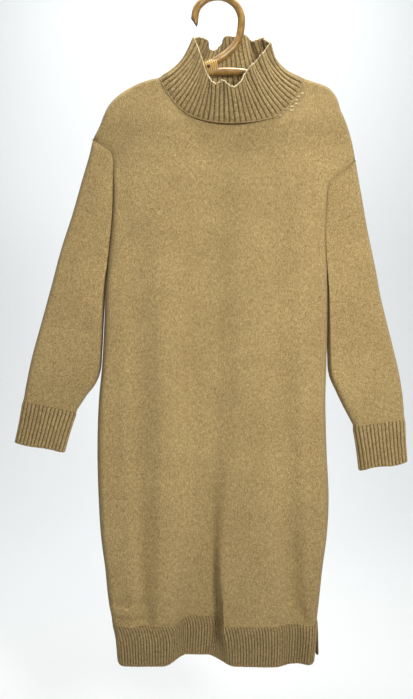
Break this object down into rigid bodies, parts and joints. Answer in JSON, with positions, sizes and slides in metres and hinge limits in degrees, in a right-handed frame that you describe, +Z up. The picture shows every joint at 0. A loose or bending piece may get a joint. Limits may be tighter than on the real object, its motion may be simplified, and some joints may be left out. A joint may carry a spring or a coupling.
{
  "type": "sweater dress on a cane hanger",
  "caption": "Long-sleeved knit sweater dress with a ruffled ribbed roll neck, ribbed cuffs and a slit ribbed hem, hung flat on a bent cane hanger.",
  "frame": {"origin": "inside top of the hanger's hook, where a peg or rail carries it", "axes": "+Z up along the dress, +X to the right as seen from the front, -Y out of the front of the dress"},
  "size_m": [0.6857, 0.0785, 1.1588],
  "materials": {
    "knit": "fine heathered camel stockinette knit",
    "rib": "ribbed camel knit",
    "cane": "varnished bent cane",
    "binding": "dark split cane wrap"
  },
  "bodies": {
    "root": {"hanger_left_cane": "cane", "hanger_right_cane": "cane", "hanger_binding": "binding", "front_body": "knit", "back_body": "knit", "front_hem_band": "rib", "back_hem_band": "rib", "left_sleeve": "knit", "right_sleeve": "knit", "left_cuff": "rib", "right_cuff": "rib", "collar": "rib"}
  },
  "joints": []
}
